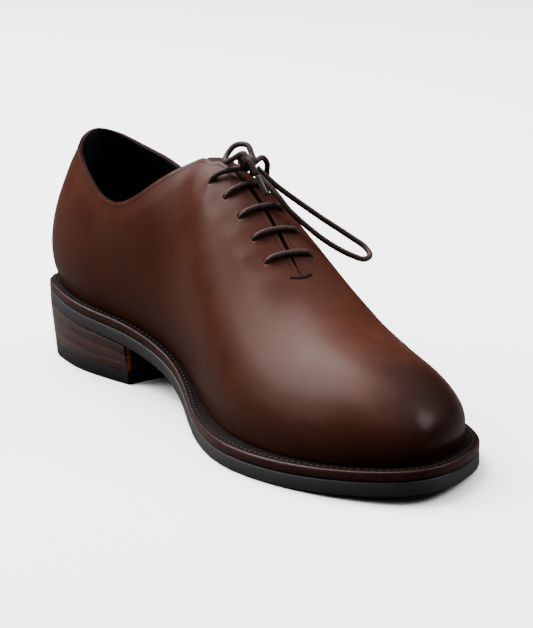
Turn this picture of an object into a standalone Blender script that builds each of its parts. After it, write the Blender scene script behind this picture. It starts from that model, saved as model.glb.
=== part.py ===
"""Whole cut oxford, left shoe, standing on its heel and forefoot.

Metres, +Z up. The toe points along -Y and the outer side of the foot is +X. Sizes are worked out
in the shoemaker's own directions: forward from the back of the last, sideways from the heel's
centre line (outward is positive), and up from the floor.
"""

import math

import bmesh
import bpy
import numpy as np
from mathutils import Vector

# Last and upper
LAST_LENGTH = 0.2905
MEDIAL_BALL = 0.0435
LATERAL_BALL = 0.0515
INSTEP_RISE = 0.092
UPPER_WALL = 0.0020
THROAT_GAP_TOP = 0.0044
THROAT_CORNER = 0.0035
THROAT_GAP_END = 0.0030
THROAT_CLOSING = 0.0105
THROAT_CLOSING_SHARE = 0.08  # the share of the throat's length in which its end rounds off
EYELET_PAIRS = 5
EYELET_PITCH = 0.0131
EYELET_INSET = 0.0110
EYELET_RADIUS = 0.0016
FIRST_EYELET = 0.0048

# Sole and heel
HEEL_BACK_HEIGHT = 0.0272
SEAT_FRONT_HEIGHT = 0.0202
SEAT_LENGTH = 0.0725
HEEL_LENGTH = 0.0835
BREAST_HOLLOW = 0.003
HEEL_TAPER = 0.0022
TOP_PIECE_THICKNESS = 0.0062
HEEL_LIFTS = 3
OUTSOLE_THICKNESS = 0.0058
WELT_THICKNESS = 0.0040
WELT_LAP = 0.0045
WELT_MARGIN = 0.0080
EDGE_ROUNDING = 0.0006
BALL_START = 0.180
BALL_END = 0.222
TOE_SPRING = 0.0036

# Inside
INSOLE_THICKNESS = 0.0025
TONGUE_THICKNESS = 0.0018
TONGUE_HALF_WIDTH = 0.026
TONGUE_ABOVE = 0.006
TONGUE_BELOW = 0.010
TONGUE_ROUNDING = 0.50

# Laces
LACE_RADIUS = 0.00125
LACE_SIDES = 2  # bevel resolution of the tubes
BAR_LIFTS = (0.0006, 0.0012, 0.0018, 0.0008)  # how far each bar's crest stands off the ridge
KNOT_LENGTH = 0.0086
KNOT_THICKNESS = 0.0064

CLEARANCE = 0.0003

# Sections of the last, from the back of the heel to the toe tip. The foot of a section stands on
# the welt and its top is on the collar, the throat's edge or the ridge of the vamp.
# foot and top: forward, share of LAST_LENGTH; medial and lateral: shares of the ball half widths;
# welt: share of WELT_MARGIN; ridge: sideways place of the ridge, share of MEDIAL_BALL; half: half
# width at the top, the same share; rise: top above foot, share of INSTEP_RISE; dip: how much lower
# the lateral collar is, the same share; swell and lift: the lower handle of the section's curve,
# outward and upward; out, ahead and down: its upper handle. Handles are shares of INSTEP_RISE.
SECTION_COLUMNS = (
    "foot", "medial", "lateral", "welt", "top", "ridge", "half", "rise", "dip",
    "swell", "lift", "out", "ahead", "down",
)
SECTIONS = (
    (0.010, 0.000, 0.000, 0.617, 0.022, 0.000, 0.000, 0.738, 0.000, 0.083, 0.250, 0.000, -0.030, 0.230),
    (0.031, 0.514, 0.340, 0.598, 0.040, 0.000, 0.256, 0.710, 0.000, 0.096, 0.254, 0.077, -0.030, 0.229),
    (0.085, 0.666, 0.534, 0.564, 0.082, 0.000, 0.413, 0.673, 0.004, 0.088, 0.239, 0.106, -0.019, 0.207),
    (0.160, 0.707, 0.598, 0.539, 0.150, 0.000, 0.557, 0.633, 0.014, 0.066, 0.222, 0.077, -0.003, 0.185),
    (0.243, 0.629, 0.610, 0.497, 0.225, 0.000, 0.619, 0.574, 0.028, 0.055, 0.220, 0.057, 0.000, 0.175),
    (0.328, 0.530, 0.636, 0.443, 0.298, 0.000, 0.595, 0.639, 0.025, 0.055, 0.241, 0.069, 0.001, 0.195),
    (0.408, 0.500, 0.697, 0.472, 0.358, 0.000, 0.432, 0.826, 0.010, 0.060, 0.281, 0.115, 0.011, 0.200),
    (0.484, 0.584, 0.772, 0.594, 0.403, 0.000, 0.175, 0.985, 0.000, 0.064, 0.319, 0.165, 0.016, 0.150),
    (0.560, 0.737, 0.815, 0.777, 0.445, -0.030, 0.000, 1.052, 0.000, 0.056, 0.311, 0.195, 0.010, 0.080),
    (0.636, 0.883, 0.833, 0.912, 0.521, -0.002, 0.000, 0.957, 0.000, 0.045, 0.261, 0.190, -0.006, 0.048),
    (0.712, 0.978, 0.835, 0.965, 0.603, 0.022, 0.000, 0.755, 0.000, 0.046, 0.223, 0.188, -0.005, 0.042),
    (0.788, 0.955, 0.803, 0.935, 0.669, 0.010, 0.000, 0.587, 0.000, 0.058, 0.209, 0.241, 0.026, 0.030),
    (0.860, 0.839, 0.705, 0.855, 0.741, -0.021, 0.000, 0.477, 0.000, 0.073, 0.190, 0.269, 0.053, 0.026),
    (0.923, 0.655, 0.515, 0.791, 0.815, -0.061, 0.000, 0.416, 0.000, 0.086, 0.171, 0.264, 0.087, 0.009),
    (0.967, 0.419, 0.185, 0.894, 0.881, -0.115, 0.000, 0.352, 0.000, 0.082, 0.143, 0.157, 0.127, 0.000),
    (0.985, 0.166, -0.141, 1.020, 0.927, -0.170, 0.000, 0.285, 0.000, 0.079, 0.128, 0.000, 0.150, -0.002),
)
EVEN_COLUMNS = ("foot", "welt", "top", "ridge", "rise", "dip", "swell", "lift", "ahead", "down")
COLLAR_SECTION = 7  # the last section whose top is on the collar
FACING_SECTION = 8  # the throat's edge runs from this section
THROAT_SECTION = 11  # about where the throat ends
TIP_SECTION = len(SECTIONS) - 1

COLLAR_STEPS = 3  # columns between two sections of the collar
VAMP_STEPS = 3
SIDE_ROWS = 10
SOLE_STATIONS = 44

# Routes of the bow's cords from the middle of the knot: forward, sideways and up, in metres. They
# are chosen by hand, as a cord lies.
LONG_LOOP = (
    (0.0030, 0.0070, -0.0036), (0.0061, 0.0109, -0.0099), (0.0091, 0.0188, -0.0167),
    (0.0137, 0.0280, -0.0244), (0.0188, 0.0362, -0.0310), (0.0237, 0.0416, -0.0358),
    (0.0285, 0.0434, -0.0389), (0.0320, 0.0401, -0.0410), (0.0326, 0.0346, -0.0396),
    (0.0309, 0.0281, -0.0362), (0.0272, 0.0206, -0.0306), (0.0228, 0.0138, -0.0238),
    (0.0188, 0.0084, -0.0172), (0.0143, 0.0052, -0.0108), (0.0088, 0.0028, -0.0066),
)
# The short loop and the end in front are one run of lace, cut at a share of its length.
SHORT_LOOP = (
    (-0.0012, 0.0034, 0.0022), (-0.0022, 0.0046, 0.0038), (-0.0049, 0.0040, 0.0062),
    (-0.0080, 0.0021, 0.0072), (-0.0103, -0.0001, 0.0056), (-0.0108, -0.0028, 0.0028),
    (-0.0087, -0.0054, 0.0005), (-0.0052, -0.0066, 0.0004), (-0.0015, -0.0058, 0.0017),
    (0.0014, -0.0051, 0.0045), (0.0045, -0.0043, 0.0053), (0.0077, -0.0036, 0.0038),
    (0.0103, -0.0032, 0.0009), (0.0129, -0.0024, -0.0031),
)
FRONT_END_SHARE = 0.70
# The other end rings over the knot and then lies over the outer side: section number, distance
# down the section and height over the upper.
SIDE_END_START = (
    (-0.0015, 0.0058, -0.0005), (-0.0025, 0.0080, 0.0011), (-0.0035, 0.0109, 0.0002),
    (-0.0053, 0.0135, -0.0026), (-0.0081, 0.0149, -0.0065), (-0.0108, 0.0167, -0.0105),
)
SIDE_END = ((7.74, 0.0270, 0.0030), (7.64, 0.0380, 0.0026), (7.60, 0.0460, 0.0026))
KNOT_PLACE = (0.0174, 0.0019, 0.0004)  # from the throat's top: forward, sideways and up
AGLET_LENGTH = 0.0092
AGLET_RADIUS = 0.0014

COLOURS = {
    "leather": (0.115, 0.035, 0.020, 0.38, 0.0),
    "lining": (0.010, 0.010, 0.010, 0.85, 0.0),
    "welt_leather": (0.060, 0.018, 0.012, 0.55, 0.0),
    "rubber": (0.022, 0.023, 0.024, 0.62, 0.0),
    "stack_leather": (0.050, 0.022, 0.016, 0.50, 0.0),
    "lace_cord": (0.030, 0.013, 0.011, 0.70, 0.0),
    "aglet_plastic": (0.110, 0.095, 0.095, 0.35, 0.0),
}


def spline(values, flat_ends):
    """A cubic through evenly numbered values: its ends are level, or run on straight."""
    count = len(values)
    matrix = np.zeros((count, count))
    right = np.zeros(count)
    for i in range(1, count - 1):
        matrix[i, i - 1 : i + 2] = (1, 4, 1)
        right[i] = 3 * (values[i + 1] - values[i - 1])
    for end, inner in ((0, 1), (-1, -2)):
        matrix[end, end] = 1 if flat_ends else 2
        matrix[end, inner] = 0 if flat_ends else 1
    if not flat_ends:
        right[0] = 3 * (values[1] - values[0])
        right[-1] = 3 * (values[-1] - values[-2])
    slopes = np.linalg.solve(matrix, right)

    def value(at):
        i = min(max(int(at), 0), count - 2)
        t = at - i
        return (
            values[i] * (1 + 2 * t) * (1 - t) ** 2
            + slopes[i] * t * (1 - t) ** 2
            + values[i + 1] * t * t * (3 - 2 * t)
            + slopes[i + 1] * t * t * (t - 1)
        )

    return value


COLUMN = {
    name: spline([row[i] for row in SECTIONS], name in EVEN_COLUMNS)
    for i, name in enumerate(SECTION_COLUMNS)
}


def smooth_step(x):
    x = min(max(x, 0.0), 1.0)
    return x * x * (3 - 2 * x)


def underside(forward):
    """Height of the outsole's lower face above the floor."""
    slope = (SEAT_FRONT_HEIGHT - HEEL_BACK_HEIGHT) / SEAT_LENGTH
    if forward < SEAT_LENGTH:
        return HEEL_BACK_HEIGHT + slope * forward
    if forward < BALL_START:
        run = BALL_START - SEAT_LENGTH
        t = (forward - SEAT_LENGTH) / run
        level = SEAT_FRONT_HEIGHT * (1 + 2 * t) * (1 - t) ** 2
        return level + slope * run * t * (1 - t) ** 2
    if forward < BALL_END:
        return 0.0
    return TOE_SPRING * ((forward - BALL_END) / (LAST_LENGTH - BALL_END)) ** 2


def welt_top(forward):
    return underside(forward) + OUTSOLE_THICKNESS + CLEARANCE + WELT_THICKNESS


def ridge_side(at):
    """Sideways place of the ridge of the vamp."""
    return COLUMN["ridge"](at) * MEDIAL_BALL


def foot_point(at, side):
    """Forward and sideways place of a section's foot, on the feather line."""
    if side > 0:
        width = COLUMN["lateral"](at) * LATERAL_BALL
    else:
        width = -COLUMN["medial"](at) * MEDIAL_BALL
    return np.array((COLUMN["foot"](at) * LAST_LENGTH, width))


def outward(at, side):
    """Direction away from the foot in the plane of the sole, square to the feather line."""
    step = 0.02
    before = foot_point(max(at - step, 0), side)
    after = foot_point(min(at + step, TIP_SECTION), side)
    if at <= step:
        return np.array((-1.0, 0.0))
    if at >= TIP_SECTION - step:
        return np.array((1.0, 0.0))
    run = after - before
    normal = np.array((-run[1], run[0])) * side
    return normal / np.linalg.norm(normal)


def throat_end():
    """Section number at which the throat's two edges meet."""
    length = FIRST_EYELET + (EYELET_PAIRS - 0.5) * EYELET_PITCH + THROAT_CLOSING
    return along_throat(length)


def top_point(at, side, end):
    """The section's top: forward, sideways and up. The two sides meet on the ridge past end."""
    forward = COLUMN["top"](at) * LAST_LENGTH
    rise = COLUMN["rise"](at) * INSTEP_RISE
    if side > 0 and at < FACING_SECTION:
        rise -= COLUMN["dip"](at) * INSTEP_RISE
    height = welt_top(COLUMN["foot"](at) * LAST_LENGTH) + CLEARANCE + rise
    if at < FACING_SECTION:
        half = COLLAR_HALF(at) * MEDIAL_BALL
    elif at < end:
        run = (at - FACING_SECTION) / (end - FACING_SECTION)
        half = THROAT_GAP_TOP / 2 + (THROAT_GAP_END - THROAT_GAP_TOP) / 2 * run
        half *= math.sqrt(min(1.0, (1 - run) / THROAT_CLOSING_SHARE))
    else:
        half = 0.0
    return np.array((forward, ridge_side(at) + side * half, height))


COLLAR_HALF = spline(
    [row[SECTION_COLUMNS.index("half")] for row in SECTIONS[: FACING_SECTION]]
    + [THROAT_GAP_TOP / 2 / MEDIAL_BALL],
    False,
)


def along_throat(length):
    """Section number at a distance down the ridge from the facing's top."""
    at = float(FACING_SECTION)
    step = 0.01
    here = ridge_point(at)
    gone = 0.0
    while gone < length and at < TIP_SECTION - 1:
        at += step
        there = ridge_point(at)
        gone += float(np.linalg.norm(there - here))
        here = there
    return at


def ridge_point(at):
    forward = COLUMN["top"](at) * LAST_LENGTH
    height = welt_top(COLUMN["foot"](at) * LAST_LENGTH) + COLUMN["rise"](at) * INSTEP_RISE
    return np.array((forward, ridge_side(at), height))


THROAT_TOP = ridge_point(float(FACING_SECTION))


def ridge_slope(at):
    """How steeply the ridge falls towards the toe."""
    step = 0.05
    at = min(at, TIP_SECTION - step)
    run = ridge_point(at + step) - ridge_point(at - step)
    return -run[2] / run[0]


def section(at, side, end, count=60):
    """Points of one section of the last, from its top to its foot."""
    foot = foot_point(at, side)
    away = outward(at, side)
    base = np.array((foot[0], foot[1], welt_top(foot[0]) + CLEARANCE))
    top = top_point(at, side, end)
    swell = COLUMN["swell"](at) * INSTEP_RISE
    low = base + np.array((away[0] * swell, away[1] * swell, COLUMN["lift"](at) * INSTEP_RISE))
    ahead = COLUMN["ahead"](at) * INSTEP_RISE
    fall = smooth_step((at - COLLAR_SECTION) / 2) * ridge_slope(at) * ahead
    out = COLUMN["out"](at) * INSTEP_RISE * side
    high = top + np.array((ahead, out, -COLUMN["down"](at) * INSTEP_RISE - fall))
    t = np.linspace(0, 1, count)[:, None]
    return top * (1 - t) ** 3 + high * 3 * t * (1 - t) ** 2 + low * 3 * t * t * (1 - t) + base * t**3


def spaced(points, distances):
    """Points at given distances along a line of points."""
    steps = np.linalg.norm(np.diff(points, axis=0), axis=1)
    along = np.concatenate(([0.0], np.cumsum(steps)))
    return np.stack([np.interp(distances, along, points[:, k]) for k in range(3)], axis=1)


def corner_cut(at):
    """How far down its section the upper's edge lies where the collar turns into the throat."""
    if at < FACING_SECTION:
        return THROAT_CORNER * smooth_step(1 - (FACING_SECTION - at) / 0.8)
    short = 1 - float(np.linalg.norm(ridge_point(at) - THROAT_TOP)) / THROAT_CORNER
    return THROAT_CORNER * (1 - math.sqrt(1 - max(0.0, short) ** 2))


def section_rows(at, side, end):
    """The grid points of one section: three rows set by the eyelets, then even ones to the foot."""
    curve = section(at, side, end)
    total = float(np.linalg.norm(np.diff(curve, axis=0), axis=1).sum())
    near = [corner_cut(at)] + [EYELET_INSET * k / 2 for k in (1, 2, 3)]
    rest = [near[-1] + (total - near[-1]) * (k + 1) / SIDE_ROWS for k in range(SIDE_ROWS)]
    return spaced(curve, near + rest)


def place(point):
    """From forward, sideways and up to the shoe's frame, whose origin is under its middle."""
    return Vector((point[1] - CENTRE_SIDE, CENTRE_FORWARD - point[0], point[2]))


def upper_columns(end):
    """Section numbers of the grid's columns, with one at each eyelet and one between."""
    collar = [k / COLLAR_STEPS for k in range(FACING_SECTION * COLLAR_STEPS + 1)]
    corner = [along_throat(THROAT_CORNER * 0.3)]
    throat = [along_throat(FIRST_EYELET + k * EYELET_PITCH / 2) for k in range(2 * EYELET_PAIRS)]
    left = TIP_SECTION - end
    steps = round(left * VAMP_STEPS)
    vamp = [end + left * k / steps for k in range(steps + 1)]
    return collar + corner + throat + vamp, len(collar) + len(corner)


def new_object(name, bm, colour, smooth_angle=50):
    mesh = bpy.data.meshes.new(name)
    bm.to_mesh(mesh)
    bm.free()
    obj = bpy.data.objects.new(name, mesh)
    bpy.context.scene.collection.objects.link(obj)
    mesh.shade_smooth()
    mesh.set_sharp_from_angle(angle=math.radians(smooth_angle))
    mesh.materials.append(material(colour))
    return obj


def material(name):
    """A Principled material with the finish of one of the shoe's materials."""
    found = bpy.data.materials.get(name)
    if found:
        return found
    red, green, blue, roughness, metallic = COLOURS[name]
    made = bpy.data.materials.new(name)
    made.use_nodes = True
    shader = made.node_tree.nodes["Principled BSDF"]
    shader.inputs["Base Color"].default_value = (red, green, blue, 1)
    shader.inputs["Roughness"].default_value = roughness
    shader.inputs["Metallic"].default_value = metallic
    made.diffuse_color = (red, green, blue, 1)
    return made


def skin(bm, rings, closed):
    """Quads between rings of points that have the same length."""
    grid = [[bm.verts.new(place(p)) for p in ring] for ring in rings]
    last = len(grid) if closed else len(grid) - 1
    for i in range(last):
        here, there = grid[i], grid[(i + 1) % len(grid)]
        for j in range(len(here) - 1):
            bm.faces.new((here[j], there[j], there[j + 1], here[j + 1]))
    return grid


def solid_wall(obj, thickness):
    """Gives a skin its wall, on its inner side."""
    wall = obj.modifiers.new("wall", "SOLIDIFY")
    wall.thickness = thickness
    wall.offset = -1
    return obj


def punch_eyelet(bm, corner):
    """Opens a round hole at one corner of the grid, inside the four quads that meet there."""
    centre = corner.co.copy()
    corner.normal_update()
    normal = corner.normal.copy()
    bmesh.ops.dissolve_verts(bm, verts=[corner])
    patch = min(bm.faces, key=lambda f: (f.calc_center_median() - centre).length)
    bmesh.ops.inset_individual(bm, faces=[patch], thickness=EYELET_RADIUS)
    for vert in patch.verts:
        away = vert.co - centre
        away -= normal * away.dot(normal)
        vert.co = centre + away.normalized() * EYELET_RADIUS
    bmesh.ops.delete(bm, geom=[patch], context="FACES_ONLY")


def make_upper(end):
    columns, first_eyelet = upper_columns(end)
    rings = [section_rows(at, -1, end) for at in columns]
    rings += [section_rows(at, 1, end) for at in columns[-2:0:-1]]
    bm = bmesh.new()
    grid = skin(bm, rings, closed=True)
    count = len(columns)
    corners = []
    for k in range(EYELET_PAIRS):
        column = first_eyelet + 2 * k
        corners.append(grid[column][2])
        corners.append(grid[2 * (count - 1) - column][2])
    bmesh.ops.recalc_face_normals(bm, faces=bm.faces)
    for corner in corners:
        punch_eyelet(bm, corner)
    bmesh.ops.remove_doubles(bm, verts=bm.verts, dist=CLEARANCE / 10)
    bmesh.ops.recalc_face_normals(bm, faces=bm.faces)
    return solid_wall(new_object("upper", bm, "leather"), UPPER_WALL)


def make_tongue(end):
    """A soft strip that follows the inside of the upper under the throat."""
    first = along_throat(0.0)
    last = along_throat(
        FIRST_EYELET + (EYELET_PAIRS - 0.5) * EYELET_PITCH + THROAT_CLOSING + TONGUE_BELOW
    )
    steps = 12
    half_rows = 5
    reach = [TONGUE_HALF_WIDTH * k / half_rows for k in range(half_rows + 1)]
    rings = []
    for k in range(steps + 1):
        at = first + (last - first) * k / steps
        medial = spaced(section(at, -1, end), reach)[::-1]
        lateral = spaced(section(at, 1, end), reach)
        middle = (medial[-1] + lateral[0]) / 2
        rings.append(np.concatenate((medial[:-1], [middle], lateral[1:])))
    base = rings[0]
    middle = base[half_rows]
    back = middle - rings[1][half_rows]
    back *= TONGUE_ABOVE / np.linalg.norm(back)
    for share in (1 / 3, 2 / 3, 1.0):
        narrow = 1 - TONGUE_ROUNDING * share**2
        rings.insert(0, middle + (base - middle) * narrow + back * share)
    bm = bmesh.new()
    skin(bm, rings, closed=False)
    bmesh.ops.recalc_face_normals(bm, faces=bm.faces)
    if sum(f.normal.z for f in bm.faces) < 0:
        bmesh.ops.reverse_faces(bm, faces=bm.faces)
    bm.normal_update()
    depth = UPPER_WALL + 2 * CLEARANCE
    moved = [(vert, vert.co - vert.normal * depth) for vert in bm.verts]
    for vert, spot in moved:
        vert.co = spot
    return solid_wall(new_object("tongue", bm, "lining"), TONGUE_THICKNESS)


def feather_loop(reach, steps=4):
    """A closed line round the sole, at a distance outward of the feather line."""
    points = []
    count = TIP_SECTION * steps
    for side in (-1, 1):
        for k in range(count):
            at = k / steps if side < 0 else TIP_SECTION - k / steps
            distance = reach(at)
            points.append(foot_point(at, side) + outward(at, side) * distance)
    return np.array(points)


def sole_edge(at):
    return COLUMN["welt"](at) * WELT_MARGIN


def edges(loop):
    """The inner and the outer edge of a closed line, each from its back to its tip."""
    ahead = int(np.argmax(loop[:, 0]))
    behind = int(np.argmin(loop[:, 0]))
    around = np.roll(loop, -behind, axis=0)
    tip = (ahead - behind) % len(loop)
    return around[: tip + 1], np.concatenate((around[tip:], around[:1]))[::-1]


def crossings(loop, stations):
    """Inner and outer edge of a closed line at forward stations, closer together at its ends."""
    inner, outer = edges(loop)
    low, high = inner[0, 0], inner[-1, 0]
    rows = []
    for k in range(stations + 1):
        forward = low + (high - low) * (1 - math.cos(math.pi * k / stations)) / 2
        medial = float(np.interp(forward, inner[:, 0], inner[:, 1]))
        lateral = float(np.interp(forward, outer[:, 0], outer[:, 1]))
        rows.append((forward, medial, lateral))
    return rows


def plate(name, edge, lower, upper, colour, rounding=0.0):
    """A closed plate between two heights that change along the shoe only."""
    bm = bmesh.new()
    rows = []
    for k, (forward, inner, outer) in enumerate(edge):
        at_end = k in (0, len(edge) - 1) and abs(outer - inner) < CLEARANCE
        sides = [(inner + outer) / 2] if at_end else [inner, outer]
        levels = [height(forward) for height in (lower, upper)]
        rows.append([[bm.verts.new(place((forward, s, z))) for s in sides] for z in levels])
    for here, there in zip(rows, rows[1:]):
        for level, turn in ((0, 1), (1, -1)):
            corners = here[level] + there[level][::-1]
            bm.faces.new(corners[::turn])
        for side in (0, -1):
            bm.faces.new((here[0][side], there[0][side], there[1][side], here[1][side]))
    for row in (rows[0], rows[-1]):
        if len(row[0]) == 2:
            bm.faces.new((row[0][0], row[0][1], row[1][1], row[1][0]))
    bmesh.ops.recalc_face_normals(bm, faces=bm.faces)
    obj = new_object(name, bm, colour)
    if rounding:
        bevel = obj.modifiers.new("edge", "BEVEL")
        bevel.width = rounding
        bevel.segments = 1
        bevel.limit_method = "ANGLE"
        bevel.angle_limit = math.radians(50)
    return obj


def make_outsole():
    edge = crossings(feather_loop(sole_edge), SOLE_STATIONS)
    return plate(
        "outsole",
        edge,
        underside,
        lambda f: underside(f) + OUTSOLE_THICKNESS,
        "rubber",
        EDGE_ROUNDING,
    )


def make_welt():
    """The strip all round that the upper is sewn to, wider than the upper by its margin."""
    outer = feather_loop(sole_edge)
    inner = feather_loop(lambda at: -WELT_LAP)
    rings = []
    for away, near in zip(outer, inner):
        heights = [welt_top(p[0]) for p in (away, near)]
        rings.append(
            [
                (away[0], away[1], heights[0] - WELT_THICKNESS),
                (away[0], away[1], heights[0]),
                (near[0], near[1], heights[1]),
                (near[0], near[1], heights[1] - WELT_THICKNESS),
                (away[0], away[1], heights[0] - WELT_THICKNESS),
            ]
        )
    bm = bmesh.new()
    skin(bm, rings, closed=True)
    bmesh.ops.remove_doubles(bm, verts=bm.verts, dist=CLEARANCE / 10)
    bmesh.ops.recalc_face_normals(bm, faces=bm.faces)
    obj = new_object("welt", bm, "welt_leather")
    bevel = obj.modifiers.new("edge", "BEVEL")
    bevel.width = EDGE_ROUNDING
    bevel.segments = 1
    bevel.limit_method = "ANGLE"
    bevel.angle_limit = math.radians(50)
    return obj


def make_insole():
    edge = crossings(feather_loop(lambda at: -UPPER_WALL - 3 * CLEARANCE), SOLE_STATIONS // 2)
    return plate(
        "insole",
        edge,
        lambda f: welt_top(f) + 2 * CLEARANCE,
        lambda f: welt_top(f) + 2 * CLEARANCE + INSOLE_THICKNESS,
        "lining",
    )


def heel_outline(inset):
    """The heel's plan: the sole's edge behind the breast, which is hollowed a little."""
    inner, outer = edges(feather_loop(lambda at: sole_edge(at) - inset))
    back = inner[0]
    stations = 11
    medial, lateral = [], []
    for k in range(1, stations + 1):
        forward = back[0] + (HEEL_LENGTH - back[0]) * (1 - math.cos(math.pi / 2 * k / stations))
        medial.append((forward, float(np.interp(forward, inner[:, 0], inner[:, 1]))))
        lateral.append((forward, float(np.interp(forward, outer[:, 0], outer[:, 1]))))
    breast = []
    steps = 6
    for k in range(1, steps):
        share = k / steps
        hollow = BREAST_HOLLOW * 4 * share * (1 - share)
        side = medial[-1][1] + (lateral[-1][1] - medial[-1][1]) * share
        breast.append((HEEL_LENGTH - hollow, side))
    return [tuple(back)] + medial + breast + lateral[::-1]


def heel_piece(name, low, high, colour, heel_top):
    """One layer of the heel between two shares of the way from the floor to the outsole."""
    bm = bmesh.new()
    rings = []
    for height in (low, high):
        level = height(0) / heel_top(0)
        inset = HEEL_TAPER * (1 - level)
        outline = heel_outline(inset)
        rings.append([bm.verts.new(place((p[0], p[1], height(p[0])))) for p in outline])
    bottom, top = rings
    bm.faces.new(bottom)
    bm.faces.new(top[::-1])
    for i in range(len(bottom)):
        j = (i + 1) % len(bottom)
        bm.faces.new((bottom[j], bottom[i], top[i], top[j]))
    bmesh.ops.recalc_face_normals(bm, faces=bm.faces)
    return new_object(name, bm, colour, 35)


def make_heel():
    def heel_top(forward):
        return underside(forward) - CLEARANCE

    def level(share):
        start = TOP_PIECE_THICKNESS + CLEARANCE

        def height(forward):
            return start + (heel_top(forward) - start) * share

        return height

    heel_piece("top_piece", lambda f: 0.0, lambda f: TOP_PIECE_THICKNESS, "rubber", heel_top)
    for k in range(HEEL_LIFTS):
        low = level(k / HEEL_LIFTS)
        high = level((k + 1) / HEEL_LIFTS)
        gap = CLEARANCE if k < HEEL_LIFTS - 1 else 0.0

        def top(forward, high=high, gap=gap):
            return high(forward) - gap

        heel_piece(f"heel_lift_{k + 1}", low, top, "stack_leather", heel_top)


def smooth_line(points, radius):
    """Evenly spaced points on a smooth line through the given ones."""
    rows = [spline([p[k] for p in points], False) for k in range(3)]
    dense = np.array([[row(t) for row in rows] for t in np.linspace(0, len(points) - 1, 200)])
    length = float(np.linalg.norm(np.diff(dense, axis=0), axis=1).sum())
    steps = max(4, round(length / (4.6 * radius)))
    return spaced(dense, np.linspace(0, length, steps + 1))


def tube(name, points, radius, colour):
    """A round cord along its points."""
    curve = bpy.data.curves.new(name, "CURVE")
    curve.dimensions = "3D"
    line = curve.splines.new("POLY")
    line.points.add(len(points) - 1)
    for point, spot in zip(line.points, points):
        point.co = (*place(spot), 1)
    curve.bevel_depth = radius
    curve.bevel_resolution = LACE_SIDES
    curve.use_fill_caps = True
    curve.materials.append(material(colour))
    obj = bpy.data.objects.new(name, curve)
    bpy.context.scene.collection.objects.link(obj)
    return obj


def over_upper(at, side, end, reach, height):
    """A point over the upper: the distance down a section, and the height off its surface."""
    here = spaced(section(at, side, end), [max(reach - 0.001, 0), reach, reach + 0.001])
    step = 0.05
    ahead = spaced(section(at + step, side, end), [reach])[0]
    normal = np.cross(here[2] - here[0], ahead - here[1]) * side
    return here[1] - normal / np.linalg.norm(normal) * height


def make_lace_bars(end):
    """The straight runs of lace from one side of the throat to the other."""
    stand = LACE_RADIUS + 2 * CLEARANCE
    steps = 8
    for index in range(1, EYELET_PAIRS):
        at = along_throat(FIRST_EYELET + index * EYELET_PITCH)
        inner = over_upper(at, -1, end, EYELET_INSET, stand)
        outer = over_upper(at, 1, end, EYELET_INSET, stand)
        crest = ridge_point(at) + ridge_normal(at) * (stand + BAR_LIFTS[index - 1])
        rise = crest - (inner + outer) / 2
        route = []
        for k in range(steps + 1):
            share = k / steps
            route.append(inner + (outer - inner) * share + rise * 4 * share * (1 - share))
        tube(f"lace_bar_{index + 1}", smooth_line(route, LACE_RADIUS), LACE_RADIUS, "lace_cord")


def ridge_normal(at):
    slope = ridge_slope(at)
    return np.array((slope, 0.0, 1.0)) / math.hypot(slope, 1.0)


def make_knot(centre):
    """The bow's knot, as one rounded block that the loops and ends come out of."""
    bm = bmesh.new()
    bmesh.ops.create_icosphere(bm, subdivisions=2, radius=1.0)
    size = Vector((KNOT_LENGTH / 2, KNOT_LENGTH / 2, KNOT_THICKNESS / 2))
    for vert in bm.verts:
        vert.co = place(centre) + Vector(a * b for a, b in zip(vert.co, size))
    return new_object("lace_knot", bm, "lace_cord")


def knot_exit(centre, beyond):
    """The start of a cord that leaves the knot towards a point, just clear of the knot."""
    way = beyond - centre
    half = np.array((KNOT_LENGTH, KNOT_LENGTH, KNOT_THICKNESS)) / 2
    reach = 1 / np.linalg.norm(way / half)
    return centre + way * reach + way / np.linalg.norm(way) * 3 * CLEARANCE


def make_aglet(name, points):
    last, before = points[-1], points[-2]
    ahead = (last - before) / np.linalg.norm(last - before)
    start = last + ahead * CLEARANCE
    route = [start + ahead * AGLET_LENGTH * k / 4 for k in range(5)]
    tube(name, route, AGLET_RADIUS, "aglet_plastic")


def make_bow(end):
    centre = THROAT_TOP + np.array(KNOT_PLACE)
    make_knot(centre)
    long_loop, short_loop, outer = (
        [centre + np.array(p) for p in route] for route in (LONG_LOOP, SHORT_LOOP, SIDE_END_START)
    )
    outer += [over_upper(at, 1, end, reach, height) for at, reach, height in SIDE_END]
    for points in (long_loop, short_loop, outer):
        points[0] = knot_exit(centre, points[0])
    long_loop[-1] = knot_exit(centre, long_loop[-1])
    tube("lace_loop_long", smooth_line(long_loop, LACE_RADIUS), LACE_RADIUS, "lace_cord")
    run = smooth_line(short_loop, LACE_RADIUS)
    cut = round((len(run) - 1) * FRONT_END_SHARE)
    half_gap = (run[cut + 1] - run[cut]) / np.linalg.norm(run[cut + 1] - run[cut]) * CLEARANCE / 2
    middle = (run[cut] + run[cut + 1]) / 2
    short_loop = np.concatenate((run[: cut + 1], [middle - half_gap]))
    tube("lace_loop_short", short_loop, LACE_RADIUS, "lace_cord")
    front = np.concatenate(([middle + half_gap], run[cut + 1 :]))
    for name, points in (("front", front), ("side", smooth_line(outer, LACE_RADIUS))):
        tube(f"lace_end_{name}", points, LACE_RADIUS, "lace_cord")
        make_aglet(f"lace_aglet_{name}", points)
    at = along_throat(FIRST_EYELET)
    stand = LACE_RADIUS + 2 * CLEARANCE
    for name, side in (("inner", -1), ("outer", 1)):
        low = over_upper(at, side, end, EYELET_INSET, stand)
        toward = centre + np.array((-0.60, side * 0.55, -0.50)) * KNOT_LENGTH
        middle = (low + toward) / 2 + np.array((0.0, 0.0, 0.0012))
        points = smooth_line([low, middle, knot_exit(centre, toward)], LACE_RADIUS)
        tube(f"lace_rise_{name}", points, LACE_RADIUS, "lace_cord")


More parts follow.
